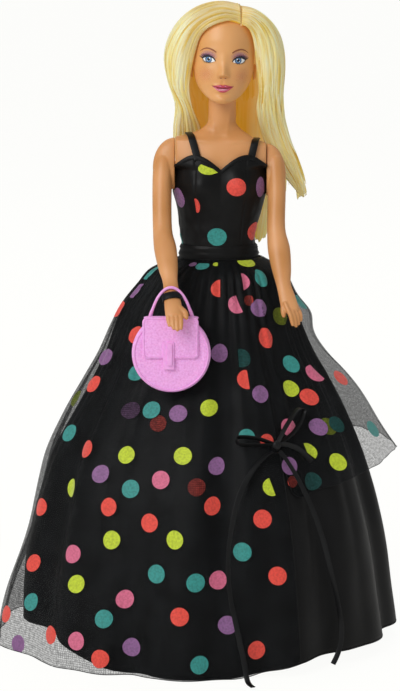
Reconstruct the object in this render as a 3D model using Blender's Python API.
"""Fashion doll in a strapless ball gown with straps, a bow and a small handbag.

Metres, +Z up. The doll faces -Y and its own left is +X. The hem rests on z = 0.
Angles around the body start at +X, and 90 degrees is the front.
"""

import math

import bmesh
import bpy
from mathutils import Matrix, Vector

MM = 0.001
TAU = 2.0 * math.pi
HALF = 0.5
DOUBLE = 2.0

# Fits and general thicknesses
FIT_GAP = 0.30 * MM
RUNNING_GAP = 0.075 * MM
CLOTH_GAP = 0.35 * MM
VINYL_WALL = 1.2 * MM
CLOTH_THICK = 0.9 * MM
TULLE_THICK = 0.6 * MM
RIBBON_THICK = 0.5 * MM
RIBBON_HALF = 1.4 * MM
CUT_MARGIN = 1.0 * MM
MERGE = 0.001 * MM

# Where the body stands
BODY_X = 9.3 * MM
HEAD_ROLL = math.radians(2.5)

# Torso levels, each measured up from the one below it
TORSO_LOW = 162.0 * MM
HIP_STEP = 6.0 * MM
WAIST_STEP = 13.0 * MM
MIDRIFF_STEP = 9.0 * MM
RIB_STEP = 10.0 * MM
BUST_STEP = 8.6 * MM
ARMPIT_STEP = 6.8 * MM
SEAM_LOW_STEP = 2.8 * MM
SHOULDER_STEP = 4.3 * MM
SEAM_TOP_STEP = 3.9 * MM
SLOPE_STEP = 2.8 * MM
NECK_ROOT_STEP = 3.4 * MM
NECK_LOW_STEP = 3.4 * MM
NECK_TALL = 13.4 * MM
NECK_LIP = 1.8 * MM
HIP_FULL = TORSO_LOW + HIP_STEP
WAIST_Z = HIP_FULL + WAIST_STEP
MIDRIFF_Z = WAIST_Z + MIDRIFF_STEP
RIB_Z = MIDRIFF_Z + RIB_STEP
BUST_Z = RIB_Z + BUST_STEP
ARMPIT_Z = BUST_Z + ARMPIT_STEP
SEAM_LOW_Z = ARMPIT_Z + SEAM_LOW_STEP
SHOULDER_Z = SEAM_LOW_Z + SHOULDER_STEP
SEAM_TOP_Z = SHOULDER_Z + SEAM_TOP_STEP
SLOPE_Z = SEAM_TOP_Z + SLOPE_STEP
NECK_ROOT_Z = SLOPE_Z + NECK_ROOT_STEP
NECK_LOW_Z = NECK_ROOT_Z + NECK_LOW_STEP
NECK_TOP_Z = NECK_LOW_Z + NECK_TALL

# Torso half widths at those levels
SEAM_HALF = 20.4 * MM
HIP_HALF = 16.6 * MM
WAIST_HALF = 14.6 * MM
MIDRIFF_HALF = 15.4 * MM
RIB_HALF = 17.4 * MM
BUST_HALF = 19.6 * MM
ARMPIT_HALF = 18.9 * MM
SEAM_SPREAD = 27.0 * MM
SLOPE_HALF = 14.5 * MM
NECK_ROOT_HALF = 8.2 * MM
NECK_HALF = 5.9 * MM

# Torso depths
FRONT_BASE = 9.6 * MM
FRONT_RIB = 10.8 * MM
FRONT_CHEST = 10.4 * MM
FRONT_SHOULDER = 8.4 * MM
FRONT_SLOPE = 6.4 * MM
NECK_FRONT = 5.0 * MM
NECK_BACK = 5.6 * MM
BACK_HIP = 11.6 * MM
BACK_WAIST = 8.6 * MM
BACK_RIB = 9.6 * MM
BACK_SHOULDER = 9.0 * MM
BACK_SLOPE = 7.4 * MM
BUST_RISE = 5.2 * MM
BUST_APART = 9.2 * MM
BUST_SPREAD = 7.0 * MM
BUST_TALL = 7.4 * MM

# Shoulder hubs
HUB_R = 2.2 * MM
HUB_DISC_R = 3.5 * MM
HUB_DISC_THICK = 1.3 * MM
ROUND_SIDES = 24

# Neck knob and head socket
NOD_STEP = 4.0 * MM
NOD_Z = NECK_TOP_Z + NOD_STEP
KNOB_SHAFT_R = 2.0 * MM
KNOB_DISC_R = 3.3 * MM
KNOB_DISC_THICK = 1.6 * MM
KNOB_BALL_R = 3.2 * MM
NOD_PIN_R = 1.4 * MM
NOD_PIN_HALF = 8.6 * MM
HEAD_POCKET_R = 7.0 * MM
HEAD_POCKET_STEP = 9.2 * MM
HEAD_POCKET_TOP = NECK_TOP_Z + HEAD_POCKET_STEP

# Head: its places are shares of its height over the chin
CHIN_UNDER_NECK = 4.1 * MM
HEAD_TALL = 42.3 * MM
CHIN_Z = NECK_TOP_Z - CHIN_UNDER_NECK
HEAD_TOP_Z = CHIN_Z + HEAD_TALL
HEAD_HALF = 13.6 * MM
HEAD_FRONT = 14.2 * MM
HEAD_BACK = 16.3 * MM
SKULL_WALL = 2.4 * MM
CAVITY_SHARES = (0.277, 0.395, 0.584, 0.749, 0.858, 0.929)
NOSE_OUT = 3.7 * MM
NOSE_TIP_Z = CHIN_Z + HEAD_TALL * 0.305
NOSE_HALF = 1.75 * MM
BRIDGE_Z = CHIN_Z + HEAD_TALL * 0.478
BRIDGE_OUT = 0.9 * MM
MOUTH_Z = CHIN_Z + HEAD_TALL * 0.161
LIP_OUT = 0.9 * MM
LIP_HALF = 3.9 * MM
LIP_STEP = 1.0 * MM
LIP_TALL = 0.75 * MM
CHIN_OUT = 1.2 * MM
CHIN_HALF = 3.4 * MM
CHIN_MID_Z = CHIN_Z + HEAD_TALL * 0.045
CHIN_TALL = 1.7 * MM
EYE_Z = CHIN_Z + HEAD_TALL * 0.456
EYE_APART = 6.5 * MM
EYE_DEEP = 1.1 * MM
EYE_WIDE = 3.0 * MM
EYE_TALL = 2.1 * MM
CHEEK_OUT = 0.7 * MM
CHEEK_APART = 8.0 * MM
CHEEK_Z = CHIN_Z + HEAD_TALL * 0.286
CHEEK_SIZE = 3.6 * MM
EAR_Z = CHIN_Z + HEAD_TALL * 0.324
EAR_Y = 3.0 * MM
EAR_TALL = 3.6 * MM
EAR_DEEP = 2.2 * MM
EAR_OUT = 1.5 * MM
EAR_SIDES = 10
EAR_RINGS = 6

# Hair
HAIR_GAP = 1.4 * MM
HAIR_SIDE_RIGHT = 25.6 * MM
HAIR_SIDE_LEFT = 28.6 * MM
HAIR_BACK = 25.5 * MM
HAIR_FRONT = 15.6 * MM
HAIR_ABOVE = 2.4 * MM
HAIR_EDGE = 1.3 * MM
HAIR_SPLIT = 0.5 * MM
DOLL_TOP = HEAD_TOP_Z + HAIR_ABOVE
HAIR_WIDE_Z = CHIN_Z + HEAD_TALL * 0.442
HAIRLINE_Z = CHIN_Z + HEAD_TALL * 0.866
HAIR_CUT_Z = CHIN_Z + HEAD_TALL * 0.111
FALL_LOW_Z = HIP_FULL + RIB_STEP
FALL_TIP_Z = MIDRIFF_Z + MIDRIFF_STEP
FALL_INNER_BACK = 12.6 * MM
FALL_START = math.radians(191.0)
FALL_END = math.radians(349.0)

# Arms: distances are measured in the arm's own plane, from the shoulder axis
ELBOW_DROP = 32.9 * MM
RIGHT_ELBOW_FORWARD = 17.0 * MM
RIGHT_WRIST_DROP = 53.0 * MM
RIGHT_WRIST_FORWARD = 37.5 * MM
RIGHT_KNUCKLE_DROP = 65.6 * MM
RIGHT_KNUCKLE_FORWARD = 50.2 * MM
LEFT_ELBOW_FORWARD = 12.0 * MM
LEFT_WRIST_DROP = 56.6 * MM
LEFT_WRIST_FORWARD = 24.6 * MM
LEFT_KNUCKLE_DROP = 67.4 * MM
LEFT_KNUCKLE_FORWARD = 30.0 * MM
ARM_CAP_RISE = 6.4 * MM
ARM_CAP_HALF = 5.0 * MM
ARM_CAP_DEEP = 5.6 * MM
UPPER_ARM_OUT = 7.6 * MM
UPPER_ARM_HALF = 4.6 * MM
UPPER_ARM_DEEP = 4.9 * MM
ELBOW_OUT = 6.9 * MM
ELBOW_HALF = 4.1 * MM
ELBOW_DEEP = 4.2 * MM
FOREARM_HALF = 4.6 * MM
FOREARM_DEEP = 4.2 * MM
WRIST_HALF = 3.0 * MM
WRIST_DEEP = 2.4 * MM
PALM_HALF = 3.9 * MM
PALM_DEEP = 1.7 * MM
RIGHT_WRIST_OUT = 2.9 * MM
RIGHT_HAND_OUT = 0.2 * MM
LEFT_WRIST_OUT = 7.0 * MM
LEFT_HAND_OUT = 9.2 * MM
FINGER_LONG = 8.6 * MM
FINGER_R = 0.95 * MM
FINGER_PITCH = 1.9 * MM
FINGER_DROOP = 0.30
THUMB_LONG = 7.4 * MM
THUMB_R = 1.15 * MM
ARM_SIDES = 12
FINGER_SIDES = 6
WRIST_BAND_LONG = 3.2 * MM
WRIST_BAND_AHEAD = 2.4 * MM

# Hips and legs
HIP_UNDER_TORSO = 10.5 * MM
HIP_Z = TORSO_LOW - HIP_UNDER_TORSO
HIP_PIN_R = 2.0 * MM
HIP_PIN_HALF = 14.0 * MM
WEB_HALF = 2.6 * MM
WEB_DEEP = 6.5 * MM
WEB_UNDER_PIN = 5.5 * MM
WEB_LOW = HIP_Z - WEB_UNDER_PIN
BRACKET_RISE = 7.0 * MM
KNUCKLE_R = 8.8 * MM
LEG_X = 9.6 * MM
THIGH_HALF = 6.6 * MM
THIGH_DEEP = 8.4 * MM
KNEE_Z = 80.0 * MM
KNEE_HALF = 4.4 * MM
KNEE_DEEP = 4.6 * MM
CALF_Z = 60.0 * MM
CALF_HALF = 4.8 * MM
CALF_DEEP = 5.2 * MM
ANKLE_Z = 20.5 * MM
ANKLE_HALF = 2.7 * MM
ANKLE_DEEP = 3.0 * MM
HEEL_Z = 13.6 * MM
BALL_Z = 4.6 * MM
BALL_FORWARD = 13.0 * MM
TOE_FORWARD = 20.5 * MM
TOE_Z = 3.6 * MM
FOOT_HALF = 3.3 * MM
FOOT_DEEP = 2.5 * MM
TOE_HALF = 2.3 * MM
TOE_DEEP = 1.5 * MM
SOLE_CLEAR = 0.8 * MM
SHOE_WALL = 0.7 * MM
HEEL_POST_R = 1.3 * MM
HEEL_POST_BACK = 1.4 * MM
LEG_SIDES = 12

# Gown bodice
BAND_TO_BODICE = 0.4 * MM
WAISTBAND_UNDER = 0.6 * MM
WAISTBAND_TALL = 4.8 * MM
NECKLINE_DIP_STEP = 7.2 * MM
CUP_STEP = 13.4 * MM
CUP_AT = 13.0 * MM
NECKLINE_SIDE_STEP = 0.6 * MM
NECKLINE_BACK_STEP = 1.9 * MM
WAISTBAND_TOP = WAIST_Z - WAISTBAND_UNDER
WAISTBAND_LOW = WAISTBAND_TOP - WAISTBAND_TALL
BODICE_LOW = WAISTBAND_TOP + BAND_TO_BODICE
NECKLINE_DIP = BUST_Z + NECKLINE_DIP_STEP
CUP_TOP = BUST_Z + CUP_STEP
NECKLINE_SIDE = ARMPIT_Z + NECKLINE_SIDE_STEP
NECKLINE_BACK = BUST_Z + NECKLINE_BACK_STEP
BODICE_GAP = 0.75 * MM
BODICE_THICK = 0.8 * MM
CLOSURE_HALF = 2.6 * MM
PANEL_SEAM_HALF = 0.2 * MM
BINDING_TALL = 1.3 * MM
BINDING_THICK = 0.9 * MM
WAISTBAND_THICK = 1.3 * MM
STRAP_HALF = 1.5 * MM
STRAP_THICK = 0.7 * MM
STRAP_LIFT = 0.95 * MM
STRAP_END_GAP = 0.8 * MM
STRAP_FRONT_X = 13.4 * MM
STRAP_TOP_X = 14.6 * MM
STRAP_BACK_X = 11.0 * MM

# Gown skirt
SKIRT_TOP = WAISTBAND_LOW - BAND_TO_BODICE
SKIRT_WAIST_HALF = 16.6 * MM
HEM_LEFT = 83.2 * MM
HEM_RIGHT = 93.5 * MM
HEM_FRONT = 79.0 * MM
HEM_BACK = 80.2 * MM
TULLE_GAP = 0.7 * MM
TULLE_HEM_OUT = 10.4 * MM
TULLE_LIFT = 0.4 * MM
FOLD_COUNT = 11
FOLD_DEEP = 2.6 * MM
SKIRT_COLUMNS = 55
SLIT_COLUMN = 10
OVERLAY_END_COLUMN = 50
TULLE_SPLIT = math.radians(1.2)
SWAG_HEM = 89.0 * MM
SWAG_FLARE = 12.5 * MM
SWAG_FLARE_FROM = math.radians(48.0)
SWAG_FRONT_RISE = 4.0 * MM

# Ribbon bow on the skirt
BOW_OVER_SWAG = 10.0 * MM
BOW_Z = SWAG_HEM + BOW_OVER_SWAG
BOW_X = 33.4 * MM
KNOT_HALF = 2.3 * MM
KNOT_DEEP = 1.2 * MM
BOW_LEFT_X = 16.6 * MM
BOW_LEFT_RISE = 3.2 * MM
BOW_RIGHT_X = 11.5 * MM
BOW_RIGHT_RISE = 15.0 * MM
BOW_STAND = 3.0 * MM
TAIL_APART = 0.2 * MM
STRAND_X = 16.0 * MM
STRAND_DROP = 5.4 * MM
TAIL_R_OUT = 18.5 * MM
TAIL_R_END = 10.5 * MM
TAIL_L_OUT = 27.0 * MM
TAIL_L_END = 22.5 * MM
TAIL_TOE = 6.0 * MM
TAIL_LIFT = 0.9 * MM

# Handbag
BAG_OUT_OF_SEAM = 1.8 * MM
BAG_AHEAD_OF_WRIST = 6.3 * MM
BAG_X = BODY_X - SEAM_HALF - BAG_OUT_OF_SEAM
BAG_Y = -RIGHT_WRIST_FORWARD - BAG_AHEAD_OF_WRIST
BAG_R = 17.0 * MM
BAG_TALL_HALF = 16.4 * MM
HANDLE_UNDER_SHOULDER = 54.1 * MM
HANDLE_RISE = 12.7 * MM
HANDLE_TOP = SHOULDER_Z - HANDLE_UNDER_SHOULDER
BAG_TOP = HANDLE_TOP - HANDLE_RISE
BAG_Z = BAG_TOP - BAG_TALL_HALF
BAG_TOP_HALF = 12.2 * MM
BAG_HALF_THICK = 2.2 * MM
BAG_RIM = 0.9 * MM
BAG_WALL = 1.2 * MM
BAG_RECESS = 0.9 * MM
BAG_SPLIT = 0.15 * MM
FLAP_HALF = 12.0 * MM
FLAP_TALL = 17.6 * MM
FLAP_TOP = BAG_TOP - BAG_RIM
FLAP_LOW = FLAP_TOP - FLAP_TALL
FLAP_CORNER = 2.2 * MM
FLAP_THICK = 0.7 * MM
CLASP_HALF = 2.5 * MM
CLASP_ABOVE = 7.0 * MM
CLASP_BELOW = 4.8 * MM
CLASP_TOP = FLAP_LOW + CLASP_ABOVE
CLASP_LOW = FLAP_LOW - CLASP_BELOW
CLASP_THICK = 0.9 * MM
CLASP_BAR_HALF = 1.1 * MM
CLASP_BAR_OUT = 0.6 * MM
CLASP_ASIDE = 0.2 * MM
CLASP_X = BAG_X + CLASP_ASIDE
HANDLE_R = 0.7 * MM
HANDLE_HALF = 9.1 * MM
HANDLE_LEAN = 0.9 * MM
HANDLE_FOOT = 2.6 * MM
HANDLE_SIDES = 8
HANDLE_STEPS = 16

COLOURS = {
    "skin": (0.80, 0.50, 0.30),
    "inner_plastic": (0.75, 0.70, 0.62),
    "satin": (0.012, 0.012, 0.014),
    "tulle": (0.02, 0.02, 0.022),
    "hair": (0.90, 0.80, 0.48),
    "bag": (0.90, 0.42, 0.80),
    "shoe": (0.01, 0.01, 0.01),
}


def clear_scene():
    for thing in list(bpy.data.objects):
        bpy.data.objects.remove(thing, do_unlink=True)


def material(kind):
    """One Principled material per kind of stuff."""
    found = bpy.data.materials.get(kind)
    if found:
        return found
    made = bpy.data.materials.new(kind)
    made.use_nodes = True
    shader = made.node_tree.nodes["Principled BSDF"]
    shader.inputs["Base Color"].default_value = (*COLOURS[kind], 1.0)
    shader.inputs["Roughness"].default_value = HALF
    return made


def smooth_between(stations, at):
    """The columns of a table of stations at one value of its first column, on a smooth curve."""
    rows = sorted(stations)
    if at <= rows[0][0]:
        return rows[0][1:]
    if at >= rows[-1][0]:
        return rows[-1][1:]
    here = max(i for i in range(len(rows) - 1) if rows[i][0] <= at)
    low, high = rows[here], rows[here + 1]
    before = rows[max(here - 1, 0)]
    after = rows[min(here + 2, len(rows) - 1)]
    span = high[0] - low[0]
    t = (at - low[0]) / span
    out = []
    for c in range(1, len(low)):
        steep = (high[c] - low[c]) / span
        down = slope_at(before, low, c, steep)
        up = slope_at(high, after, c, steep)
        out.append(
            (1.0 + DOUBLE * t) * (1.0 - t) ** 2 * low[c]
            + t * (1.0 - t) ** 2 * span * down
            + t**2 * (3.0 - DOUBLE * t) * high[c]
            + t**2 * (t - 1.0) * span * up
        )
    return tuple(out)


def slope_at(first, second, column, other):
    """A slope at a station that never makes the curve overshoot."""
    run = second[0] - first[0]
    if run <= 0.0:
        return other
    own = (second[column] - first[column]) / run
    if own * other <= 0.0:
        return 0.0
    return DOUBLE * own * other / (own + other)


def bump(value, middle, width):
    return math.exp(-(((value - middle) / width) ** 2))


def ease(value, low, high):
    """Zero below low, one above high and smooth between."""
    t = min(max((value - low) / (high - low), 0.0), 1.0)
    return t * t * (3.0 - DOUBLE * t)


def spread(low, high, count):
    """Evenly spaced values, both ends included."""
    return [low + (high - low) * i / (count - 1) for i in range(count)]


def finish(mesh, name, kind, smooth=True):
    """Turn a bmesh into a named object with outward faces."""
    bmesh.ops.remove_doubles(mesh, verts=mesh.verts, dist=MERGE)
    bmesh.ops.recalc_face_normals(mesh, faces=mesh.faces)
    if mesh.calc_volume(signed=True) < 0.0:
        bmesh.ops.reverse_faces(mesh, faces=mesh.faces)
    data = bpy.data.meshes.new(name)
    mesh.to_mesh(data)
    mesh.free()
    data.polygons.foreach_set("use_smooth", [smooth] * len(data.polygons))
    made = bpy.data.objects.new(name, data)
    bpy.context.scene.collection.objects.link(made)
    data.materials.append(material(kind))
    return made


def cover(mesh, grid, wrap):
    """Quads over a grid of bmesh vertices."""
    for r in range(len(grid) - 1):
        columns = len(grid[r])
        for c in range(columns if wrap else columns - 1):
            n = (c + 1) % columns
            corners = []
            for v in (grid[r][c], grid[r][n], grid[r + 1][n], grid[r + 1][c]):
                if v not in corners:
                    corners.append(v)
            if len(corners) > 2:
                mesh.faces.new(corners)


def shell(name, kind, outer, inner, wrap=False, closed_top=False):
    """A thin wall between two grids of points that have the same rows and columns."""
    mesh = bmesh.new()
    skins = []
    for points in (outer, inner):
        rows = [[mesh.verts.new(p) for p in row] for row in points]
        if closed_top:
            for v in rows[-1][1:]:
                mesh.verts.remove(v)
            rows[-1] = [rows[-1][0]] * len(rows[0])
        skins.append(rows)
        cover(mesh, rows, wrap)
    ends = [0] if closed_top else [0, -1]
    for e in ends:
        cover(mesh, [skins[0][e], skins[1][e]], wrap)
    if not wrap:
        for c in (0, -1):
            cover(mesh, [[row[c] for row in skins[0]], [row[c] for row in skins[1]]], False)
    return finish(mesh, name, kind)


def rings_body(name, kind, rings, smooth=True):
    """A closed body through rings of points, with a flat cap at each end."""
    mesh = bmesh.new()
    rows = [[mesh.verts.new(p) for p in ring] for ring in rings]
    cover(mesh, rows, True)
    mesh.faces.new(rows[0])
    mesh.faces.new(rows[-1])
    return finish(mesh, name, kind, smooth)


def sweep(name, kind, path, halves, sides, across=Vector((1.0, 0.0, 0.0))):
    """A rounded bar along a path; halves are its half width across and half depth at each point."""
    rings = []
    for i, point in enumerate(path):
        ahead = path[min(i + 1, len(path) - 1)] - path[max(i - 1, 0)]
        along = ahead.normalized()
        side = (across - along * across.dot(along)).normalized()
        deep = along.cross(side)
        wide, thick = halves[i]
        ring = []
        for k in range(sides):
            a = TAU * (k + HALF) / sides
            ring.append(point + side * (wide * math.cos(a)) + deep * (thick * math.sin(a)))
        rings.append(ring)
    return rings_body(name, kind, rings)


def post(name, kind, centre, axis, radius, length, sides=ROUND_SIDES):
    """A round bar centred on a point."""
    way = Vector(axis)
    across = Vector((0.0, 0.0, 1.0)) if abs(way.z) < HALF else Vector((1.0, 0.0, 0.0))
    ends = [centre - way * (length * HALF), centre + way * (length * HALF)]
    return sweep(name, kind, ends, [(radius, radius)] * 2, sides, across)


def lump(name, kind, centre, radii, sides, rings):
    """An ellipsoid."""
    stack = []
    for t in spread(-math.pi * HALF, math.pi * HALF, rings + 2)[1:-1]:
        ring = []
        for k in range(sides):
            a = TAU * k / sides
            ring.append(
                centre
                + Vector(
                    (
                        radii[0] * math.cos(t) * math.cos(a),
                        radii[1] * math.cos(t) * math.sin(a),
                        radii[2] * math.sin(t),
                    )
                )
            )
        stack.append(ring)
    return rings_body(name, kind, stack)


def boolean(target, tool, operation):
    """Add or cut one body and remove the tool."""
    step = target.modifiers.new(operation, "BOOLEAN")
    step.operation = operation
    step.solver = "EXACT"
    step.object = tool
    dependencies = bpy.context.evaluated_depsgraph_get()
    result = bpy.data.meshes.new_from_object(target.evaluated_get(dependencies))
    target.modifiers.remove(step)
    old = target.data
    name = old.name
    target.data = result
    bpy.data.meshes.remove(old)
    result.name = name
    bpy.data.objects.remove(tool, do_unlink=True)


def join(target, *tools):
    for tool in tools:
        boolean(target, tool, "UNION")


def cut(target, *tools):
    for tool in tools:
        boolean(target, tool, "DIFFERENCE")


def seat_origin(thing, point):
    """Put a moving piece's origin on its joint axis."""
    thing.data.transform(Matrix.Translation(-point))
    thing.location = point


# Torso

TORSO_STATIONS = (
    (TORSO_LOW, HIP_HALF, FRONT_BASE, BACK_HIP),
    (HIP_FULL, HIP_HALF, FRONT_BASE, BACK_HIP),
    (WAIST_Z, WAIST_HALF, FRONT_BASE, BACK_WAIST),
    (MIDRIFF_Z, MIDRIFF_HALF, FRONT_BASE, BACK_WAIST),
    (RIB_Z, RIB_HALF, FRONT_RIB, BACK_RIB),
    (BUST_Z, BUST_HALF, FRONT_CHEST, BACK_RIB),
    (ARMPIT_Z, ARMPIT_HALF, FRONT_CHEST, BACK_RIB),
    (SEAM_LOW_Z, SEAM_SPREAD, FRONT_CHEST, BACK_SHOULDER),
    (SEAM_TOP_Z, SEAM_SPREAD, FRONT_SHOULDER, BACK_SHOULDER),
    (SLOPE_Z, SLOPE_HALF, FRONT_SLOPE, BACK_SLOPE),
    (NECK_ROOT_Z, NECK_ROOT_HALF, NECK_FRONT, NECK_BACK),
    (NECK_LOW_Z, NECK_HALF, NECK_FRONT, NECK_BACK),
    (NECK_TOP_Z, NECK_HALF, NECK_FRONT, NECK_BACK),
)


def torso_point(angle, z, out=0.0):
    """A point of the body's surface, moved outward."""
    wide, front, back = smooth_between(TORSO_STATIONS, z)
    deep = front if math.sin(angle) > 0.0 else back
    x = (wide + out) * math.cos(angle)
    y = -(deep + out) * math.sin(angle)
    limit = SEAM_HALF + out
    x = max(-limit, min(limit, x))
    if y < 0.0:
        rise = bump(abs(x), BUST_APART, BUST_SPREAD) * bump(z, BUST_Z, BUST_TALL)
        y -= BUST_RISE * rise * math.sin(angle)
    return Vector((BODY_X + x, y, z))


def torso_half(name, front):
    """Half of the hollow body, as a wall with flat mould edges on the split plane."""
    levels = [
        TORSO_LOW,
        HIP_FULL,
        WAIST_Z,
        MIDRIFF_Z,
        (MIDRIFF_Z + RIB_Z) * HALF,
        RIB_Z,
        (RIB_Z + BUST_Z) * HALF,
        BUST_Z,
        (BUST_Z + ARMPIT_Z) * HALF,
        ARMPIT_Z,
        SEAM_LOW_Z,
        SHOULDER_Z,
        SEAM_TOP_Z,
        (SEAM_TOP_Z + SLOPE_Z) * HALF,
        SLOPE_Z,
        (SLOPE_Z + NECK_ROOT_Z) * HALF,
        NECK_ROOT_Z,
        NECK_LOW_Z,
        NECK_TOP_Z - NECK_LIP,
        NECK_TOP_Z - NECK_LIP + MERGE * DOUBLE,
        NECK_TOP_Z,
    ]
    turn = 0.0 if front else math.pi
    way = -1.0 if front else 1.0
    outer, inner = [], []
    for z in levels:
        lip = z > NECK_TOP_Z - NECK_LIP + MERGE
        rows = ([], [])
        for a in spread(turn, turn + math.pi, 13):
            out_point = torso_point(a, z)
            in_point = torso_point(a, z, -VINYL_WALL)
            if lip:
                r = KNOB_SHAFT_R + RUNNING_GAP
                in_point = Vector((BODY_X + r * math.cos(a), -r * math.sin(a), z))
            for row, point in zip(rows, (out_point, in_point)):
                point.y = way * max(way * point.y, FIT_GAP * HALF)
                row.append(point)
        outer.append(rows[0])
        inner.append(rows[1])
    return shell(name, "skin", outer, inner)


def build_torso():
    front = torso_half("torso_front", True)
    back = torso_half("torso_back", False)
    for side in (-1.0, 1.0):
        for half in (front, back):
            centre = Vector((BODY_X + side * SEAM_HALF, 0.0, SHOULDER_Z))
            hole = post(
                "hole", "skin", centre, (1.0, 0.0, 0.0), HUB_R + RUNNING_GAP, VINYL_WALL * 4.0
            )
            cut(half, hole)
    return front, back


def box(name, kind, low, high):
    """A plain block between two corners."""
    rings = []
    for z in (low[2], high[2]):
        rings.append(
            [
                Vector((low[0], low[1], z)),
                Vector((high[0], low[1], z)),
                Vector((high[0], high[1], z)),
                Vector((low[0], high[1], z)),
            ]
        )
    return rings_body(name, kind, rings, smooth=False)


def build_hips():
    """The bracket that closes the body below, and the pin on which both legs turn."""
    rings = []
    for z in (TORSO_LOW, TORSO_LOW + BRACKET_RISE):
        ring = []
        for k in range(ROUND_SIDES):
            ring.append(torso_point(TAU * k / ROUND_SIDES, z, -VINYL_WALL - FIT_GAP))
        rings.append(ring)
    bracket = rings_body("hip_bracket", "inner_plastic", rings)
    web = box(
        "web",
        "inner_plastic",
        (BODY_X - WEB_HALF, -WEB_DEEP, WEB_LOW),
        (BODY_X + WEB_HALF, WEB_DEEP, TORSO_LOW + BRACKET_RISE * HALF),
    )
    join(bracket, web)
    centre = Vector((BODY_X, 0.0, HIP_Z))
    cut(
        bracket,
        post("bore", "skin", centre, (1.0, 0.0, 0.0), HIP_PIN_R + RUNNING_GAP, WEB_HALF * 4.0),
    )
    post("hip_pin", "inner_plastic", centre, (1.0, 0.0, 0.0), HIP_PIN_R, HIP_PIN_HALF * DOUBLE)


# Head

HEAD_SHARES = (
    # height over the chin, backward shift, width, front depth and back depth, as shares
    (0.0, -0.746, 0.176, 0.169, 0.123),
    (0.026, -0.606, 0.368, 0.345, 0.331),
    (0.0686, -0.394, 0.566, 0.585, 0.675),
    (0.116, -0.211, 0.713, 0.775, 0.883),
    (0.173, -0.106, 0.831, 0.887, 0.957),
    (0.253, -0.035, 0.934, 0.958, 0.982),
    (0.371, 0.0, 1.0, 1.0, 1.0),
    (0.631, 0.021, 1.0, 1.0, 1.0),
    (0.773, 0.042, 0.912, 0.908, 0.933),
    (0.891, 0.070, 0.691, 0.697, 0.736),
    (0.972, 0.092, 0.360, 0.373, 0.405),
    (1.0, 0.106, 0.066, 0.070, 0.074),
)

HEAD_LEVEL_SHARES = (0.0, 0.024, 0.078, 0.116, 0.22, 0.37, 0.57, 0.66, 0.761, 0.849, 0.91, 0.967, 1.0)


def face_relief(x, z):
    """How far the face stands forward of the plain head at a place."""
    side = abs(x)
    above = ease(z, NOSE_TIP_Z - NOSE_HALF, NOSE_TIP_Z)
    below = 1.0 - ease(z, NOSE_TIP_Z, BRIDGE_Z)
    nose = NOSE_OUT * bump(x, 0.0, NOSE_HALF) * above * below
    bridge = BRIDGE_OUT * bump(x, 0.0, NOSE_HALF) * bump(z, BRIDGE_Z, EYE_WIDE)
    upper = bump(z, MOUTH_Z + LIP_STEP, LIP_TALL)
    lower = bump(z, MOUTH_Z - LIP_STEP, LIP_TALL)
    lips = LIP_OUT * bump(x, 0.0, LIP_HALF) * (upper + lower)
    chin = CHIN_OUT * bump(x, 0.0, CHIN_HALF) * bump(z, CHIN_MID_Z, CHIN_TALL)
    eyes = EYE_DEEP * bump(side, EYE_APART, EYE_WIDE) * bump(z, EYE_Z, EYE_TALL)
    cheeks = CHEEK_OUT * bump(side, CHEEK_APART, CHEEK_SIZE) * bump(z, CHEEK_Z, CHEEK_SIZE)
    return nose + bridge + lips + chin + cheeks - eyes


def head_point(angle, z, out=0.0, relief=True):
    """A point of the head's surface, moved outward and rolled a little to the doll's right."""
    shift, wide, front, back = smooth_between(HEAD_SHARES, (z - CHIN_Z) / HEAD_TALL)
    deep = HEAD_FRONT * front if math.sin(angle) > 0.0 else HEAD_BACK * back
    x = (HEAD_HALF * wide + out) * math.cos(angle)
    y = HEAD_FRONT * shift - (deep + out) * math.sin(angle)
    if relief and math.sin(angle) > 0.0:
        y -= face_relief(x, z) * math.sin(angle)
    return rolled(Vector((BODY_X + x, y, z)))


def rolled(point):
    """The head's small sideways lean, about the nod pin."""
    dx, dz = point.x - BODY_X, point.z - NOD_Z
    c, s = math.cos(HEAD_ROLL), math.sin(HEAD_ROLL)
    return Vector((BODY_X + dx * c + dz * s, point.y, NOD_Z - dx * s + dz * c))


def head_angles():
    """Columns around the head, closer together over the face."""
    front = spread(math.radians(30.0), math.radians(150.0), 17)
    back = spread(math.radians(150.0), math.radians(390.0), 12)
    return front + back[1:-1]


def build_head():
    plain = [CHIN_Z + HEAD_TALL * share for share in HEAD_LEVEL_SHARES]
    face = [
        CHIN_MID_Z,
        MOUTH_Z - LIP_STEP,
        MOUTH_Z,
        MOUTH_Z + LIP_STEP,
        NOSE_TIP_Z - NOSE_HALF,
        NOSE_TIP_Z,
        EYE_Z - EYE_TALL,
        EYE_Z,
        EYE_Z + EYE_TALL,
    ]
    rings = [[head_point(a, z) for a in head_angles()] for z in sorted(plain + face)]
    head = rings_body("head", "skin", rings)
    for side in (-1.0, 1.0):
        join(head, ear("ear", side, 0.0))
    hollow = []
    for share in CAVITY_SHARES:
        z = CHIN_Z + HEAD_TALL * share
        ring = []
        for k in range(16):
            ring.append(head_point(TAU * k / 16, z, -SKULL_WALL, relief=False))
        hollow.append(ring)
    pocket_low = CHIN_Z - CUT_MARGIN
    centre = Vector((BODY_X, 0.0, (pocket_low + HEAD_POCKET_TOP) * HALF))
    pocket = post(
        "pocket",
        "skin",
        centre,
        (0.0, 0.0, 1.0),
        HEAD_POCKET_R,
        HEAD_POCKET_TOP - pocket_low,
    )
    bore = post(
        "bore",
        "skin",
        Vector((BODY_X, 0.0, NOD_Z)),
        (1.0, 0.0, 0.0),
        NOD_PIN_R + RUNNING_GAP,
        (NOD_PIN_HALF + FIT_GAP) * DOUBLE,
    )
    cut(head, rings_body("cavity", "skin", hollow), pocket, bore)
    seat_origin(head, Vector((BODY_X, 0.0, NOD_Z)))
    return head


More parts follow.
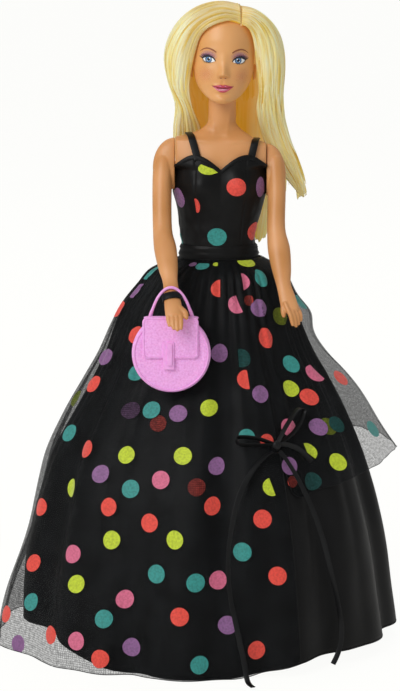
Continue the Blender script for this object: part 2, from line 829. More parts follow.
def ear(name, side, out):
    """An ear, or the room for one."""
    middle = rolled(Vector((BODY_X + side * (HEAD_HALF - EAR_OUT * HALF), EAR_Y, EAR_Z)))
    radii = (EAR_OUT + out, EAR_DEEP + out, EAR_TALL + out)
    return lump(name, "skin", middle, radii, EAR_SIDES, EAR_RINGS)


def build_neck_knob():
    """The turning post that carries the head on a cross pin."""
    disc_top = NECK_TOP_Z - NECK_LIP - FIT_GAP
    low = disc_top - KNOB_DISC_THICK
    up = (0.0, 0.0, 1.0)
    knob = post(
        "neck_knob",
        "inner_plastic",
        Vector((BODY_X, 0.0, (low + NOD_Z) * HALF)),
        up,
        KNOB_SHAFT_R,
        NOD_Z - low,
    )
    disc = post(
        "disc",
        "inner_plastic",
        Vector((BODY_X, 0.0, (low + disc_top) * HALF)),
        up,
        KNOB_DISC_R,
        KNOB_DISC_THICK,
    )
    ball = lump(
        "ball",
        "inner_plastic",
        Vector((BODY_X, 0.0, NOD_Z)),
        (KNOB_BALL_R,) * 3,
        ROUND_SIDES // 2,
        7,
    )
    pin = post(
        "pin",
        "inner_plastic",
        Vector((BODY_X, 0.0, NOD_Z)),
        (1.0, 0.0, 0.0),
        NOD_PIN_R,
        NOD_PIN_HALF * DOUBLE,
    )
    join(knob, disc, ball, pin)
    seat_origin(knob, Vector((BODY_X, 0.0, NOD_Z)))


# Hair

HAIR_SHARES = (
    # level above the cut line, width, front depth and back depth, as shares
    (0.0, 0.93, 0.50, 0.90),
    (0.18, 0.965, 0.56, 0.96),
    (0.36, 1.0, 0.64, 1.0),
    (0.55, 0.985, 0.84, 0.985),
    (0.72, 0.90, 1.0, 0.91),
    (0.85, 0.74, 0.88, 0.76),
    (0.94, 0.50, 0.60, 0.52),
    (0.985, 0.26, 0.32, 0.28),
    (1.0, 0.06, 0.08, 0.06),
)

FACE_EDGE_SHARES = (
    # place across the hair, then the height of its lower edge from the cut line to the hairline
    (-1.0, 0.0),
    (-0.61, 0.0),
    (-0.56, 0.42),
    (-0.50, 0.66),
    (-0.38, 0.83),
    (-0.16, 0.93),
    (0.10, 0.975),
    (0.30, 1.0),
    (0.42, 0.93),
    (0.50, 0.72),
    (0.545, 0.42),
    (0.59, 0.0),
    (1.0, 0.0),
)


def hair_point(angle, z):
    """The outside of the hair on the head."""
    share = (z - HAIR_CUT_Z) / (DOLL_TOP - HAIR_CUT_Z)
    wide, front, back = smooth_between(HAIR_SHARES, share)
    half = HAIR_SIDE_LEFT if math.cos(angle) > 0.0 else HAIR_SIDE_RIGHT
    deep = HAIR_FRONT * front if math.sin(angle) > 0.0 else HAIR_BACK * back
    return Vector((BODY_X + half * wide * math.cos(angle), -deep * math.sin(angle), z))


def hair_low(angle):
    """The lower edge of the hair: round the face, highest at the parting, and level elsewhere."""
    if math.sin(angle) <= 0.0:
        return HAIR_CUT_Z
    share = smooth_between(FACE_EDGE_SHARES, math.cos(angle))[0]
    return HAIR_CUT_Z + (HAIRLINE_Z - HAIR_CUT_Z) * share


def crown_angles():
    """Columns round the hair, closer together along the edges of the face."""
    edges = (0.0, 30.0, 52.0, 62.0, 118.0, 128.0, 150.0, 360.0)
    counts = (3, 3, 5, 7, 5, 3, 15)
    angles = []
    for first, last, count in zip(edges, edges[1:], counts):
        angles += spread(math.radians(first), math.radians(last), count + 1)[:-1]
    return angles


def build_crown():
    """The hair that moves with the head."""
    outer, inner = [], []
    for share in spread(0.0, 1.0, 10):
        row_out, row_in = [], []
        for a in crown_angles():
            low = hair_low(a)
            z = low + (DOLL_TOP - low) * (1.0 - (1.0 - share) ** 1.6)
            inside = low + (HEAD_TOP_Z - low) * (1.0 - (1.0 - share) ** 1.6)
            near = head_clear(a, inside)
            full = hair_point(a, z)
            edge = near + (full - near).normalized() * HAIR_EDGE
            open_share = ease(low, HAIR_CUT_Z, HAIRLINE_Z) * (1.0 - ease(share, 0.0, HALF))
            row_out.append(full.lerp(edge, open_share))
            row_in.append(near)
        outer.append(row_out)
        inner.append(row_in)
    crown = shell("hair_crown", "hair", outer, inner, wrap=True, closed_top=True)
    for side in (-1.0, 1.0):
        cut(crown, ear("ear_room", side, FIT_GAP))
    seat_origin(crown, Vector((BODY_X, 0.0, NOD_Z)))


def head_clear(angle, z):
    """Just outside the head, and straight down from its widest level."""
    point = head_point(angle, max(z, HAIR_WIDE_Z), HAIR_GAP)
    if z < HAIR_WIDE_Z:
        point.z += z - HAIR_WIDE_Z
    if z >= HEAD_TOP_Z:
        point.z += HAIR_GAP
    return point


FALL_SHARES = (
    # drop as a share, left reach, right reach, outer depth and inner depth as shares
    (0.0, 0.92, 0.92, 0.88, 0.60),
    (0.2, 0.90, 0.94, 0.86, 0.64),
    (0.4, 0.88, 1.02, 0.80, 0.58),
    (0.6, 0.74, 1.18, 0.74, 0.54),
    (0.8, 0.58, 1.30, 0.70, 0.52),
    (1.0, 0.40, 1.20, 0.64, 0.50),
)


def fall_low(angle):
    """The ends of the long hair: lowest behind the waist, higher at the doll's left."""
    t = ease(angle, math.radians(290.0), FALL_END)
    return FALL_LOW_Z + (FALL_TIP_Z - FALL_LOW_Z) * t


def build_fall():
    """The long hair down the back."""
    top = HAIR_CUT_Z - HAIR_SPLIT
    columns = spread(FALL_START, FALL_END, 19)
    outer, inner = [], []
    for share in spread(1.0, 0.0, 9):
        row_out, row_in = [], []
        for a in columns:
            z = top + (fall_low(a) - top) * share
            right, left, far, near = smooth_between(FALL_SHARES, share)
            half = HAIR_SIDE_LEFT * left if math.cos(a) > 0.0 else HAIR_SIDE_RIGHT * right
            taper = math.sin(math.pi * (a - FALL_START) / (FALL_END - FALL_START))
            thick = HAIR_BACK * (far - near) * (0.35 + 0.65 * taper)
            deep_in = HAIR_BACK * near
            x = half * math.cos(a)
            y_in = -deep_in * math.sin(a)
            y_in = max(y_in, fall_clear(z))
            row_in.append(Vector((BODY_X + x * 0.94, y_in, z)))
            row_out.append(Vector((BODY_X + x, y_in - thick * math.sin(a), z)))
        outer.append(row_out)
        inner.append(row_in)
    shell("hair_fall", "hair", outer, inner)


def fall_clear(z):
    """How far behind the body's middle the long hair starts, so that arms and back stay clear."""
    return FALL_INNER_BACK * ease(z, HAIR_CUT_Z, SEAM_TOP_Z)


# Arms

def arm_path(side):
    """The line through an arm at rest, as stations of drop, forward, outward and two halves."""
    if side < 0.0:
        elbow = RIGHT_ELBOW_FORWARD
        wrist = (RIGHT_WRIST_DROP, RIGHT_WRIST_FORWARD, RIGHT_WRIST_OUT)
        knuckle = (RIGHT_KNUCKLE_DROP, RIGHT_KNUCKLE_FORWARD, RIGHT_HAND_OUT)
    else:
        elbow = LEFT_ELBOW_FORWARD
        wrist = (LEFT_WRIST_DROP, LEFT_WRIST_FORWARD, LEFT_WRIST_OUT)
        knuckle = (LEFT_KNUCKLE_DROP, LEFT_KNUCKLE_FORWARD, LEFT_HAND_OUT)
    cap_out = ARM_CAP_HALF + FIT_GAP
    near = [
        (-ARM_CAP_RISE, 0.0, cap_out * 0.8, ARM_CAP_HALF * 0.25, ARM_CAP_DEEP * 0.25),
        (-ARM_CAP_RISE * 0.84, 0.0, cap_out * 0.86, ARM_CAP_HALF * 0.66, ARM_CAP_DEEP * 0.62),
        (-ARM_CAP_RISE * 0.45, 0.0, cap_out, ARM_CAP_HALF * 0.94, ARM_CAP_DEEP * 0.92),
        (0.0, 0.0, cap_out * 1.04, ARM_CAP_HALF, ARM_CAP_DEEP),
        (ELBOW_DROP * 0.2, elbow * 0.18, cap_out * 1.3, ARM_CAP_HALF * 0.96, ARM_CAP_DEEP * 0.92),
        (ELBOW_DROP * 0.5, elbow * 0.48, UPPER_ARM_OUT, UPPER_ARM_HALF, UPPER_ARM_DEEP),
        (ELBOW_DROP, elbow, ELBOW_OUT, ELBOW_HALF, ELBOW_DEEP),
    ]
    joined = [((w + k) * HALF) for w, k in zip(wrist, knuckle)]
    first = [ELBOW_DROP, elbow, ELBOW_OUT]
    fore = [f + (w - f) * 0.38 for f, w in zip(first, wrist)]
    late = [f + (w - f) * 0.75 for f, w in zip(first, wrist)]
    far = [
        (*fore, FOREARM_HALF, FOREARM_DEEP),
        (*late, (FOREARM_HALF + WRIST_HALF) * HALF, (FOREARM_DEEP + WRIST_DEEP) * HALF),
        (*wrist, WRIST_HALF, WRIST_DEEP),
        (*joined, PALM_HALF * 0.92, (WRIST_DEEP + PALM_DEEP) * HALF),
        (*knuckle, PALM_HALF, PALM_DEEP),
    ]
    return near + far


def arm_place(side, drop, forward, outward):
    return Vector((BODY_X + side * (SEAM_HALF + outward), -forward, SHOULDER_Z - drop))


def build_arm(name, side):
    """An arm with its hand and the hub that snaps into the shoulder."""
    stations = arm_path(side)
    path = [arm_place(side, *s[:3]) for s in stations]
    halves = [s[3:] for s in stations]
    reach = (path[-1] - path[-2]).normalized()
    path.append(path[-1] + reach * PALM_DEEP)
    halves.append((PALM_HALF * 0.8, PALM_DEEP * 0.7))
    arm = sweep(name, "skin", path, halves, ARM_SIDES)
    down = Vector((0.0, 0.0, -1.0))
    curl = (reach + down * FINGER_DROOP).normalized()
    across = Vector((1.0, 0.0, 0.0))
    for i in range(4):
        shift = (i - 1.5) * FINGER_PITCH
        long = FINGER_LONG * (1.0 - 0.09 * abs(i - 1.2))
        start = path[-1] - reach * PALM_DEEP * DOUBLE + across * shift
        middle = start + reach * (PALM_DEEP * DOUBLE + long * 0.45) + across * shift * 0.12
        tip = middle + curl * long * 0.6
        finger = sweep(
            "finger",
            "skin",
            [start, middle, tip - curl * FINGER_R * 0.7, tip],
            [(FINGER_R, FINGER_R), (FINGER_R, FINGER_R), (FINGER_R * 0.8,) * 2, (FINGER_R * 0.4,) * 2],
            FINGER_SIDES,
        )
        join(arm, finger)
    inward = Vector((-side, 0.0, 0.0))
    base = path[-3].lerp(path[-2], 0.7) + inward * PALM_HALF * 0.45
    knee = base + reach * THUMB_LONG * 0.5 + inward * PALM_HALF * 0.75
    tip = knee + (reach + inward * 0.25).normalized() * THUMB_LONG * 0.5
    thumb = sweep(
        "thumb",
        "skin",
        [base, knee, tip],
        [(THUMB_R, THUMB_R), (THUMB_R, THUMB_R), (THUMB_R * 0.5,) * 2],
        FINGER_SIDES,
    )
    join(arm, thumb)
    shoulder = Vector((BODY_X + side * SEAM_HALF, 0.0, SHOULDER_Z))
    hub_in = VINYL_WALL + FIT_GAP + HUB_DISC_THICK
    hub_out = ARM_CAP_HALF
    hub = post(
        "hub",
        "skin",
        shoulder + Vector((side * (hub_out - hub_in) * HALF, 0.0, 0.0)),
        (1.0, 0.0, 0.0),
        HUB_R,
        hub_in + hub_out,
    )
    disc = post(
        "disc",
        "skin",
        shoulder - Vector((side * (hub_in - HUB_DISC_THICK * HALF), 0.0, 0.0)),
        (1.0, 0.0, 0.0),
        HUB_DISC_R,
        HUB_DISC_THICK,
    )
    join(hub, disc)
    join(arm, hub)
    seat_origin(arm, shoulder)
    return arm


def build_wrist_band():
    """The narrow ribbon round the right wrist, just under the bag's handle."""
    wrist = arm_place(-1.0, RIGHT_WRIST_DROP, RIGHT_WRIST_FORWARD, RIGHT_WRIST_OUT)
    knuckle = arm_place(-1.0, RIGHT_KNUCKLE_DROP, RIGHT_KNUCKLE_FORWARD, RIGHT_HAND_OUT)
    along = (knuckle - wrist).normalized()
    across = Vector((1.0, 0.0, 0.0))
    side = (across - along * across.dot(along)).normalized()
    deep = along.cross(side)
    middle = (wrist + knuckle) * HALF
    start = middle - along * WRIST_BAND_AHEAD * HALF
    grids = []
    for out in (CLOTH_GAP + RIBBON_THICK, CLOTH_GAP):
        grid = []
        for step in (0.0, WRIST_BAND_LONG):
            wide = PALM_HALF + out
            thick = (WRIST_DEEP + PALM_DEEP) * HALF + out
            ring = []
            for k in range(ARM_SIDES):
                a = TAU * (k + HALF) / ARM_SIDES
                centre = start + along * step
                ring.append(centre + side * (wide * math.cos(a)) + deep * (thick * math.sin(a)))
            grid.append(ring)
        grids.append(grid)
    shell("wrist_band", "satin", grids[0], grids[1], wrap=True)


# Legs and shoes

def leg_stations():
    """Height, backward shift and two halves down a leg."""
    top = HIP_Z + KNUCKLE_R
    return [
        (top - KNUCKLE_R * 0.03, 0.0, THIGH_HALF * 0.45, KNUCKLE_R * 0.22),
        (top - KNUCKLE_R * 0.16, 0.0, THIGH_HALF * 0.78, KNUCKLE_R * 0.54),
        (top - KNUCKLE_R * 0.45, 0.0, THIGH_HALF * 0.96, KNUCKLE_R * 0.83),
        (HIP_Z, 0.0, THIGH_HALF, KNUCKLE_R * 0.99),
        (HIP_Z - KNUCKLE_R * 1.6, 0.0, THIGH_HALF * 0.97, THIGH_DEEP),
        (KNEE_Z + CALF_Z * 0.5, 0.0, THIGH_HALF * 0.86, THIGH_DEEP * 0.8),
        (KNEE_Z + CALF_Z * 0.12, 0.0, KNEE_HALF * 1.06, KNEE_DEEP * 1.08),
        (KNEE_Z - CALF_Z * 0.06, 0.0, KNEE_HALF, KNEE_DEEP),
        (CALF_Z, CALF_DEEP * 0.25, CALF_HALF, CALF_DEEP),
        (CALF_Z * 0.6, CALF_DEEP * 0.2, CALF_HALF * 0.8, CALF_DEEP * 0.78),
        (ANKLE_Z, 0.0, ANKLE_HALF, ANKLE_DEEP),
    ]


def foot_line(x, lift):
    """The line through the arched foot, from the ankle to the toe."""
    return [
        Vector((x, 0.0, ANKLE_Z + ANKLE_DEEP)),
        Vector((x, 0.0, HEEL_Z + lift)),
        Vector((x, -BALL_FORWARD * 0.5, (HEEL_Z + BALL_Z) * HALF + lift)),
        Vector((x, -BALL_FORWARD, BALL_Z + lift)),
        Vector((x, -TOE_FORWARD, TOE_Z + lift)),
    ]


def build_leg(name, side):
    x = BODY_X + side * LEG_X
    stations = leg_stations()
    path = [Vector((x, s[1], s[0])) for s in stations]
    leg = sweep(name, "skin", path, [s[2:] for s in stations], LEG_SIDES)
    halves = [
        (ANKLE_HALF * 0.9, ANKLE_DEEP * 0.9),
        (ANKLE_HALF, ANKLE_DEEP),
        (FOOT_HALF * 0.85, FOOT_DEEP),
        (FOOT_HALF, FOOT_DEEP * 0.85),
        (TOE_HALF, TOE_DEEP),
    ]
    join(leg, sweep("foot", "skin", foot_line(x, SOLE_CLEAR), halves, 12))
    centre = Vector((BODY_X, 0.0, HIP_Z))
    room = (HIP_PIN_HALF + FIT_GAP) * DOUBLE
    cut(leg, post("bore", "skin", centre, (1.0, 0.0, 0.0), HIP_PIN_R + RUNNING_GAP, room))
    seat_origin(leg, centre)
    return halves


def build_shoe(name, side, halves):
    """A plain court shoe round the foot, with a post heel."""
    x = BODY_X + side * LEG_X
    line = foot_line(x, SOLE_CLEAR)
    outer_line = [line[1], *line[1:]]
    outer_line[0] = line[1] + Vector((0.0, ANKLE_DEEP, 0.0))
    outer_line[-1] = line[-1] - Vector((0.0, SHOE_WALL * DOUBLE, 0.0))
    grown = [(w + SHOE_WALL, d + SHOE_WALL) for w, d in halves[1:]]
    outer_halves = [(grown[0][0] * 0.7, grown[0][1] * 0.6), *grown]
    shoe = sweep(name, "shoe", outer_line, outer_halves, 12)
    heel_top = HEEL_Z + SOLE_CLEAR
    heel = post(
        "heel",
        "shoe",
        Vector((x, HEEL_POST_BACK, (heel_top + SOLE_CLEAR) * HALF)),
        (0.0, 0.0, 1.0),
        HEEL_POST_R,
        heel_top - SOLE_CLEAR,
        12,
    )
    join(shoe, heel)
    room_halves = [(w + CLOTH_GAP, d + CLOTH_GAP) for w, d in [halves[0], *halves]]
    room_line = [line[0] + Vector((0.0, 0.0, ANKLE_Z)), *line]
    room_line[-1] = line[-1] - Vector((0.0, CLOTH_GAP, 0.0))
    cut(shoe, sweep("room", "shoe", room_line, room_halves, 12))
    trim = box(
        "trim",
        "shoe",
        (x - HEM_FRONT, -HEM_FRONT, -HEM_FRONT),
        (x + HEM_FRONT, HEM_FRONT, SOLE_CLEAR),
    )
    cut(shoe, trim)
    seat_origin(shoe, Vector((BODY_X, 0.0, HIP_Z)))


# Gown

def neckline(x):
    """The height of the sweetheart neckline over a place across the front."""
    side = abs(x)
    rise = ease(side, 0.0, CUP_AT)
    top = NECKLINE_DIP + (CUP_TOP - NECKLINE_DIP) * rise
    fall = ease(side, CUP_AT, BUST_HALF)
    return top + (NECKLINE_SIDE - CUP_TOP) * fall


def back_neckline(angle):
    share = abs(math.cos(angle))
    return NECKLINE_BACK + (NECKLINE_SIDE - NECKLINE_BACK) * ease(share, HALF, 1.0)


def bodice_panel(name, start, end, top_of, columns, rows):
    """A closed cloth panel that follows the body between two angles."""
    grids = ([], [])
    for share in spread(0.0, 1.0, rows):
        for grid, out in zip(grids, (BODICE_GAP + BODICE_THICK, BODICE_GAP)):
            row = []
            for a in spread(start, end, columns):
                z = BODICE_LOW + (top_of(a) - BODICE_LOW) * share
                row.append(torso_point(a, z, out))
            grid.append(row)
    return shell(name, "satin", *grids)


def front_top(angle):
    return neckline(BUST_HALF * math.cos(angle)) - BINDING_TALL - FIT_GAP


def back_top(angle):
    return back_neckline(angle) - BINDING_TALL - FIT_GAP


def build_bodice():
    slip = PANEL_SEAM_HALF / BUST_HALF
    bodice_panel("bodice_front", slip, math.pi - slip, front_top, 21, 9)
    gap = CLOSURE_HALF / BACK_RIB * HALF
    middle = math.pi * 1.5
    bodice_panel("bodice_back_right", math.pi + slip, middle - gap, back_top, 9, 7)
    bodice_panel("bodice_back_left", middle + gap, TAU - slip, back_top, 9, 7)
    inset = gap - FIT_GAP / BACK_WAIST
    bodice_panel("back_closure", middle - inset, middle + inset, back_top, 3, 7)


def build_binding():
    """The narrow edge all round the top of the bodice."""
    columns = 48
    grids = ([], [])
    for step in (0.0, 1.0):
        for grid, out in zip(grids, (BODICE_GAP + BINDING_THICK, BODICE_GAP)):
            row = []
            for c in range(columns):
                a = TAU * c / columns
                top = neckline(BUST_HALF * math.cos(a)) if a < math.pi else back_neckline(a)
                row.append(torso_point(a, top - BINDING_TALL * (1.0 - step), out))
            grid.append(row)
    shell("neckline_binding", "satin", *grids, wrap=True)


def build_waistband():
    columns = 36
    grids = ([], [])
    for z in (WAISTBAND_LOW, WAISTBAND_TOP):
        for grid, out in zip(grids, (CLOTH_GAP + WAISTBAND_THICK, CLOTH_GAP)):
            grid.append([torso_point(TAU * c / columns, z, out) for c in range(columns)])
    shell("waistband", "satin", *grids, wrap=True)


def surface_y(x, z, front):
    """The body's surface at a place across it, found along the angle."""
    low, high = 0.0, math.pi * HALF
    for _ in range(30):
        middle = (low + high) * HALF
        a = middle if front else -middle
        if torso_point(a, z).x - BODY_X > abs(x):
            low = middle
        else:
            high = middle
    return torso_point(low if front else -low, z).y


def top_z(x, y_share):
    """The height of the shoulder's top over a place across it."""
    low, high = SHOULDER_Z, NECK_ROOT_Z
    for _ in range(30):
        middle = (low + high) * HALF
        wide = smooth_between(TORSO_STATIONS, middle)[0]
        if wide * y_share > abs(x):
            low = middle
        else:
            high = middle
    return low


def build_strap(name, side):
    """A shoulder strap over the body, from a cup to the back edge."""
    peak = top_z(STRAP_TOP_X, 1.0)
    front_z = neckline(STRAP_FRONT_X) + STRAP_END_GAP
    back_z = back_neckline(math.pi * 1.5 - math.asin(STRAP_BACK_X / BUST_HALF)) + STRAP_END_GAP
    steps = (0.0, 0.3, 0.6, 0.8, 0.93)
    places = []
    for share in steps:
        z = front_z + (peak - front_z) * share
        x = STRAP_FRONT_X + (STRAP_TOP_X - STRAP_FRONT_X) * share
        places.append((x, surface_y(x, z, True), z))
    places.append((STRAP_TOP_X, 0.0, peak))
    for share in reversed(steps):
        z = back_z + (peak - back_z) * share
        x = STRAP_BACK_X + (STRAP_TOP_X - STRAP_BACK_X) * share
        places.append((x, surface_y(x, z, False), z))
    points = []
    lift = STRAP_LIFT + STRAP_THICK * HALF
    for i, (x, y, z) in enumerate(places):
        before = places[max(i - 1, 0)]
        after = places[min(i + 1, len(places) - 1)]
        dy, dz = after[1] - before[1], after[2] - before[2]
        long = math.hypot(dy, dz)
        points.append(Vector((BODY_X + side * x, y - lift * dz / long, z + lift * dy / long)))
    flat_bar(name, points, STRAP_HALF, STRAP_THICK)


def flat_bar(name, points, half, thick, kind="satin", across=Vector((1.0, 0.0, 0.0))):
    """A flat ribbon along a path with square edges."""
    rings = []
    for i, point in enumerate(points):
        ahead = points[min(i + 1, len(points) - 1)] - points[max(i - 1, 0)]
        along = ahead.normalized()
        side = (across - along * across.dot(along)).normalized()
        deep = along.cross(side)
        s, d = side * half, deep * thick * HALF
        rings.append([point + s + d, point - s + d, point - s - d, point + s - d])
    return rings_body(name, kind, rings)


SKIRT_SHARES = (
    # height above the hem, then the left, right, front and back reach, as shares
    (1.00, 0.000, 0.000, 0.000, 0.000),
    (0.965, 0.155, 0.182, 0.150, 0.160),
    (0.935, 0.195, 0.242, 0.200, 0.230),
    (0.885, 0.276, 0.336, 0.272, 0.330),
    (0.833, 0.343, 0.402, 0.325, 0.410),
    (0.753, 0.455, 0.487, 0.375, 0.520),
    (0.700, 0.524, 0.558, 0.400, 0.590),
    (0.593, 0.636, 0.701, 0.570, 0.700),
    (0.485, 0.735, 0.818, 0.735, 0.800),
    (0.434, 0.780, 0.851, 0.800, 0.840),
    (0.325, 0.862, 0.909, 0.880, 0.900),
    (0.244, 0.903, 0.941, 0.925, 0.935),
    (0.124, 0.952, 0.980, 0.968, 0.972),
    (0.00, 1.000, 1.000, 1.000, 1.000),
)


def skirt_reach(z):
    """Left, right, front and back reach of the satin skirt at a height."""
    shares = smooth_between(SKIRT_SHARES, z / SKIRT_TOP)
    waist = (SKIRT_WAIST_HALF, SKIRT_WAIST_HALF, FRONT_BASE, BACK_HIP)
    hem = (HEM_LEFT, HEM_RIGHT, HEM_FRONT, HEM_BACK)
    room = CLOTH_GAP * DOUBLE + CLOTH_THICK
    return tuple(w + room + (h - w - room) * s for w, h, s in zip(waist, hem, shares))


def skirt_point(angle, z, out=0.0, left_out=0.0):
    """A point of the satin skirt's outside, with its main folds."""
    left, right, front, back = skirt_reach(z)
    c, s = math.cos(angle), math.sin(angle)
    wide = left + left_out if c > 0.0 else right
    deep = front if s > 0.0 else back
    down = 1.0 - z / SKIRT_TOP
    ripple = FOLD_DEEP * min(down * 1.6, 1.0) * math.sin(FOLD_COUNT * angle + down * 1.4)
    ripple -= FOLD_DEEP * min(down * 1.6, 1.0)
    move = out + ripple
    return Vector((BODY_X + (wide + move) * c, -(deep + move) * s, z))


def skirt_levels():
    """Heights of the cloth's rows, which all three layers share."""
    low = spread(0.0, SWAG_HEM, 5)
    high = [SWAG_HEM + (SKIRT_TOP - SWAG_HEM) * (1.0 - (1.0 - t) ** 1.4) for t in spread(0.0, 1.0, 7)]
    return low + high[1:]


def column_angle(column):
    return TAU * column / SKIRT_COLUMNS


def build_satin_skirt():
    grids = ([], [])
    for z in skirt_levels():
        for grid, out in zip(grids, (0.0, -CLOTH_THICK)):
            grid.append([skirt_point(column_angle(c), z, out) for c in range(SKIRT_COLUMNS)])
    shell("satin_skirt", "satin", *grids, wrap=True)


def build_tulle():
    """The long dotted layer over the doll's right and back."""
    grids = ([], [])
    for level in skirt_levels():
        z = max(level, TULLE_LIFT)
        flare = TULLE_HEM_OUT * (1.0 - ease(z, 0.0, SKIRT_TOP * 0.34))
        for grid, out in zip(grids, (TULLE_GAP + TULLE_THICK, TULLE_GAP)):
            row = []
            for c in range(SLIT_COLUMN, OVERLAY_END_COLUMN + 1):
                a = column_angle(c)
                side = max(0.0, -math.cos(a)) ** 1.5
                row.append(skirt_point(a, z, out + flare * side))
            grid.append(row)
    shell("tulle_overlay", "tulle", *grids)


def swag_flare(angle, z):
    """How far the drawn-up layer stands off the satin at the doll's left."""
    edge = math.cos(SWAG_FLARE_FROM)
    side = max(0.0, (math.cos(angle) - edge) / (1.0 - edge))
    up = (z - SWAG_HEM) / (SKIRT_TOP - SWAG_HEM)
    return SWAG_FLARE * max(0.0, 1.0 - up) ** 1.3 * ease(side, 0.0, 1.0)


def build_swag():
    """The part of the dotted layer that the bow draws up over the doll's left."""
    grids = ([], [])
    first = OVERLAY_END_COLUMN - SKIRT_COLUMNS
    levels = [z for z in skirt_levels() if z > SWAG_HEM - MERGE]
    for i, level in enumerate(levels):
        for grid, out in zip(grids, (TULLE_GAP + TULLE_THICK, TULLE_GAP)):
            row = []
            for c in range(first, SLIT_COLUMN + 1):
                a = column_angle(c)
                if c == first:
                    a += TULLE_SPLIT
                if c == SLIT_COLUMN:
                    a -= TULLE_SPLIT
                share = (c - first) / (SLIT_COLUMN - first)
                rise = SWAG_FRONT_RISE * math.sin(math.pi * share) if i == 0 else 0.0
                row.append(skirt_point(a, level + rise, out + swag_flare(a, level)))
            grid.append(row)
    shell("tulle_swag", "tulle", *grids)


# Bow

def on_skirt(x, z, out):
    """A place on the front of the skirt, moved forward."""
    low, high = 0.0, math.pi
    for _ in range(40):
        middle = (low + high) * HALF
        if skirt_point(middle, z).x > x:
            low = middle
        else:
            high = middle
    point = skirt_point(low, z)
    return Vector((x, point.y - out, z))


def build_bow():
    stand = TULLE_GAP + TULLE_THICK + BOW_STAND
    knot_at = on_skirt(BOW_X, BOW_Z, stand)
    knot = lump(
        "ribbon_bow", "satin", knot_at, (KNOT_HALF, KNOT_DEEP, KNOT_HALF), 12, 6
    )
    up = Vector((0.0, 0.0, 1.0))
    ends = (
        (BOW_X - BOW_LEFT_X, BOW_Z + BOW_LEFT_RISE, up),
        (BOW_X + BOW_RIGHT_X, BOW_Z + BOW_RIGHT_RISE, Vector((1.0, 0.0, 0.0))),
        (BOW_X + STRAND_X, BOW_Z - STRAND_DROP, up),
    )
    for x, z, across in ends:
        far = on_skirt(x, z, stand)
        middle = on_skirt((BOW_X + x) * HALF, (BOW_Z + z) * HALF, stand + RIBBON_HALF)
        middle.z += RIBBON_HALF * HALF
        loop = flat_bar(
            "loop", [knot_at, middle, far], RIBBON_HALF, RIBBON_THICK, across=across
        )
        join(knot, loop)


def build_tail(name, way, bulge, end_x):
    """A long ribbon end that hangs from the bow down to the floor."""
    points = []
    start_shift = way * (RIBBON_HALF + TAIL_APART)
    out = TULLE_GAP + TULLE_THICK + BOW_STAND
    top = BOW_Z - KNOT_HALF - FIT_GAP * HALF
    for share in spread(0.0, 1.0, 10):
        z = top + (TAIL_LIFT - top) * share
        bend = math.sin(math.pi * min(share * 1.25, 1.0)) * (1.0 - share * HALF)
        x = BOW_X + start_shift + (end_x - start_shift) * share + bulge * bend
        points.append(on_skirt(x, z, out))
    points[0].y = on_skirt(BOW_X, BOW_Z, out).y
    toe = points[-1] + Vector((0.0, -TAIL_TOE, -TAIL_LIFT * HALF))
    points.append(toe)
    flat_bar(name, points, RIBBON_HALF, RIBBON_THICK)


# Handbag

def bag_outline(inset):
    """Points round the bag: a circle with a straight, wider top."""
    points = []
    r = BAG_R - inset
    top = BAG_TOP - inset - BAG_Z
    half = BAG_TOP_HALF - inset
    count = 30
    start = math.atan2(top, half)
    begin = math.pi - start
    end = TAU + start
    for i, a in enumerate(spread(begin, end, count)):
        reach = r
        if i in (0, count - 1):
            reach = math.hypot(top, half)
        points.append((reach * math.cos(a), reach * math.sin(a)))
    return points


def bag_ring(y, inset):
    return [Vector((BAG_X + x, BAG_Y + y, BAG_Z + z)) for x, z in bag_outline(inset)]


def build_bag():
    for name, way in (("bag_front", -1.0), ("bag_back", 1.0)):
        rings = [
            bag_ring(way * (BAG_SPLIT + BAG_RECESS), BAG_WALL),
            bag_ring(way * BAG_SPLIT, BAG_WALL),
            bag_ring(way * BAG_SPLIT, 0.0),
            bag_ring(way * (BAG_HALF_THICK - BAG_RIM), 0.0),
            bag_ring(way * (BAG_HALF_THICK - BAG_RIM * 0.3), BAG_RIM * 0.3),
            bag_ring(way * BAG_HALF_THICK, BAG_RIM),
        ]
        half = rings_body(name, "bag", rings)
        if way > 0.0:
            for side in (-1.0, 1.0):
                cut(half, handle_foot_room(side))
        seat_origin(half, handle_pivot())
    front = BAG_Y - BAG_HALF_THICK - FIT_GAP * HALF
    seat_origin(plate("bag_flap", flap_outline(), front, FLAP_THICK), handle_pivot())
    clasp_front = front - FLAP_THICK - FIT_GAP * HALF
    clasp = plate("bag_clasp", clasp_outline(CLASP_HALF), clasp_front, CLASP_THICK)
    bar = plate(
        "bar",
        clasp_outline(CLASP_BAR_HALF),
        clasp_front - CLASP_THICK * HALF,
        CLASP_THICK * HALF + CLASP_BAR_OUT,
    )
    join(clasp, bar)
    seat_origin(clasp, handle_pivot())


def flap_outline():
    """The flap: square at the top and rounded at its two lower corners."""
    points = [(FLAP_HALF - BAG_RIM, FLAP_TOP), (-FLAP_HALF + BAG_RIM, FLAP_TOP)]
    for side in (-1.0, 1.0):
        for a in spread(0.0, math.pi * HALF, 4):
            turn = a if side < 0.0 else math.pi * HALF - a
            x = side * (FLAP_HALF - FLAP_CORNER + FLAP_CORNER * math.cos(turn))
            z = FLAP_LOW + FLAP_CORNER - FLAP_CORNER * math.sin(turn)
            points.append((x, z))
    return [(BAG_X + x, z) for x, z in points]


def clasp_outline(half):
    points = []
    for side, z in ((1.0, CLASP_TOP), (-1.0, CLASP_TOP), (-1.0, CLASP_LOW), (1.0, CLASP_LOW)):
        points.append((CLASP_X + side * half, z + (CLASP_HALF - half) * (-1.0 if z > BAG_Z else 1.0)))
    return points


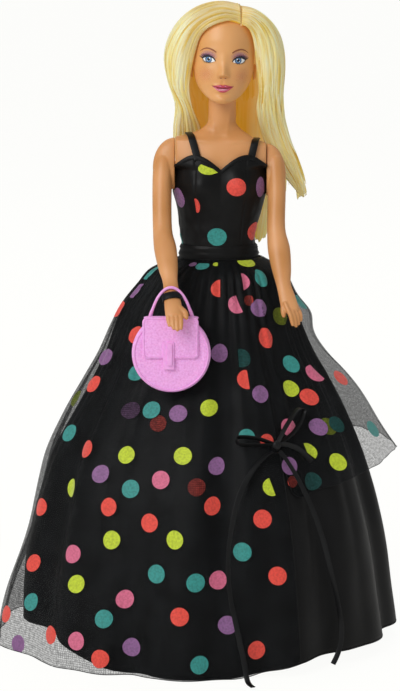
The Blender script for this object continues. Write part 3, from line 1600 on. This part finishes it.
def plate(name, outline, y, thick):
    """A flat plate whose back lies at one depth, with a narrow sloping edge at the front."""
    cx = sum(p[0] for p in outline) / len(outline)
    cz = sum(p[1] for p in outline) / len(outline)
    rings = []
    for depth, share in ((0.0, 1.0), (thick * 0.6, 1.0), (thick, 0.965)):
        ring = []
        for px, pz in outline:
            ring.append(Vector((cx + (px - cx) * share, y - depth, cz + (pz - cz) * share)))
        rings.append(ring)
    return rings_body(name, "bag", rings, smooth=False)


def handle_pivot():
    """The middle of the handle's top bar, where it hangs on the wrist."""
    return Vector((BAG_X, BAG_Y, HANDLE_TOP - HANDLE_R))


def handle_line():
    """The arch of the handle from one foot to the other."""
    foot_z = BAG_TOP - HANDLE_FOOT
    rise = HANDLE_TOP - HANDLE_R - BAG_TOP
    points = [Vector((BAG_X - HANDLE_HALF, BAG_Y + HANDLE_LEAN, foot_z))]
    for a in spread(math.pi, 0.0, HANDLE_STEPS):
        x = BAG_X + HANDLE_HALF * math.cos(a)
        high = math.sin(a) ** 0.75 if math.sin(a) > 0.0 else 0.0
        y = BAG_Y + HANDLE_LEAN * (1.0 - high)
        points.append(Vector((x, y, BAG_TOP + rise * high)))
    points.append(Vector((BAG_X + HANDLE_HALF, BAG_Y + HANDLE_LEAN, foot_z)))
    return points


def handle_foot_room(side):
    """The socket that takes one end of the handle."""
    low = BAG_TOP - HANDLE_FOOT - FIT_GAP
    high = BAG_TOP + CUT_MARGIN
    centre = Vector((BAG_X + side * HANDLE_HALF, BAG_Y + HANDLE_LEAN, (low + high) * HALF))
    return post("room", "bag", centre, (0.0, 0.0, 1.0), HANDLE_R + RUNNING_GAP * DOUBLE, high - low, 12)


def build_handle():
    line = handle_line()
    handle = sweep(
        "bag_handle",
        "bag",
        line,
        [(HANDLE_R, HANDLE_R)] * len(line),
        HANDLE_SIDES,
        across=Vector((0.0, 1.0, 0.0)),
    )
    seat_origin(handle, handle_pivot())


def main():
    clear_scene()
    build_torso()
    build_hips()
    build_neck_knob()
    build_head()
    build_crown()
    build_fall()
    build_arm("right_arm", -1.0)
    build_arm("left_arm", 1.0)
    build_wrist_band()
    for name, side in (("right", -1.0), ("left", 1.0)):
        halves = build_leg(name + "_leg", side)
        build_shoe(name + "_shoe", side, halves)
    build_bodice()
    build_binding()
    build_waistband()
    build_strap("strap_right", -1.0)
    build_strap("strap_left", 1.0)
    build_satin_skirt()
    build_tulle()
    build_swag()
    build_bow()
    build_tail("ribbon_tail_right", -1.0, -TAIL_R_OUT, -TAIL_R_END)
    build_tail("ribbon_tail_left", 1.0, TAIL_L_OUT * HALF, TAIL_L_END)
    build_bag()
    build_handle()


main()
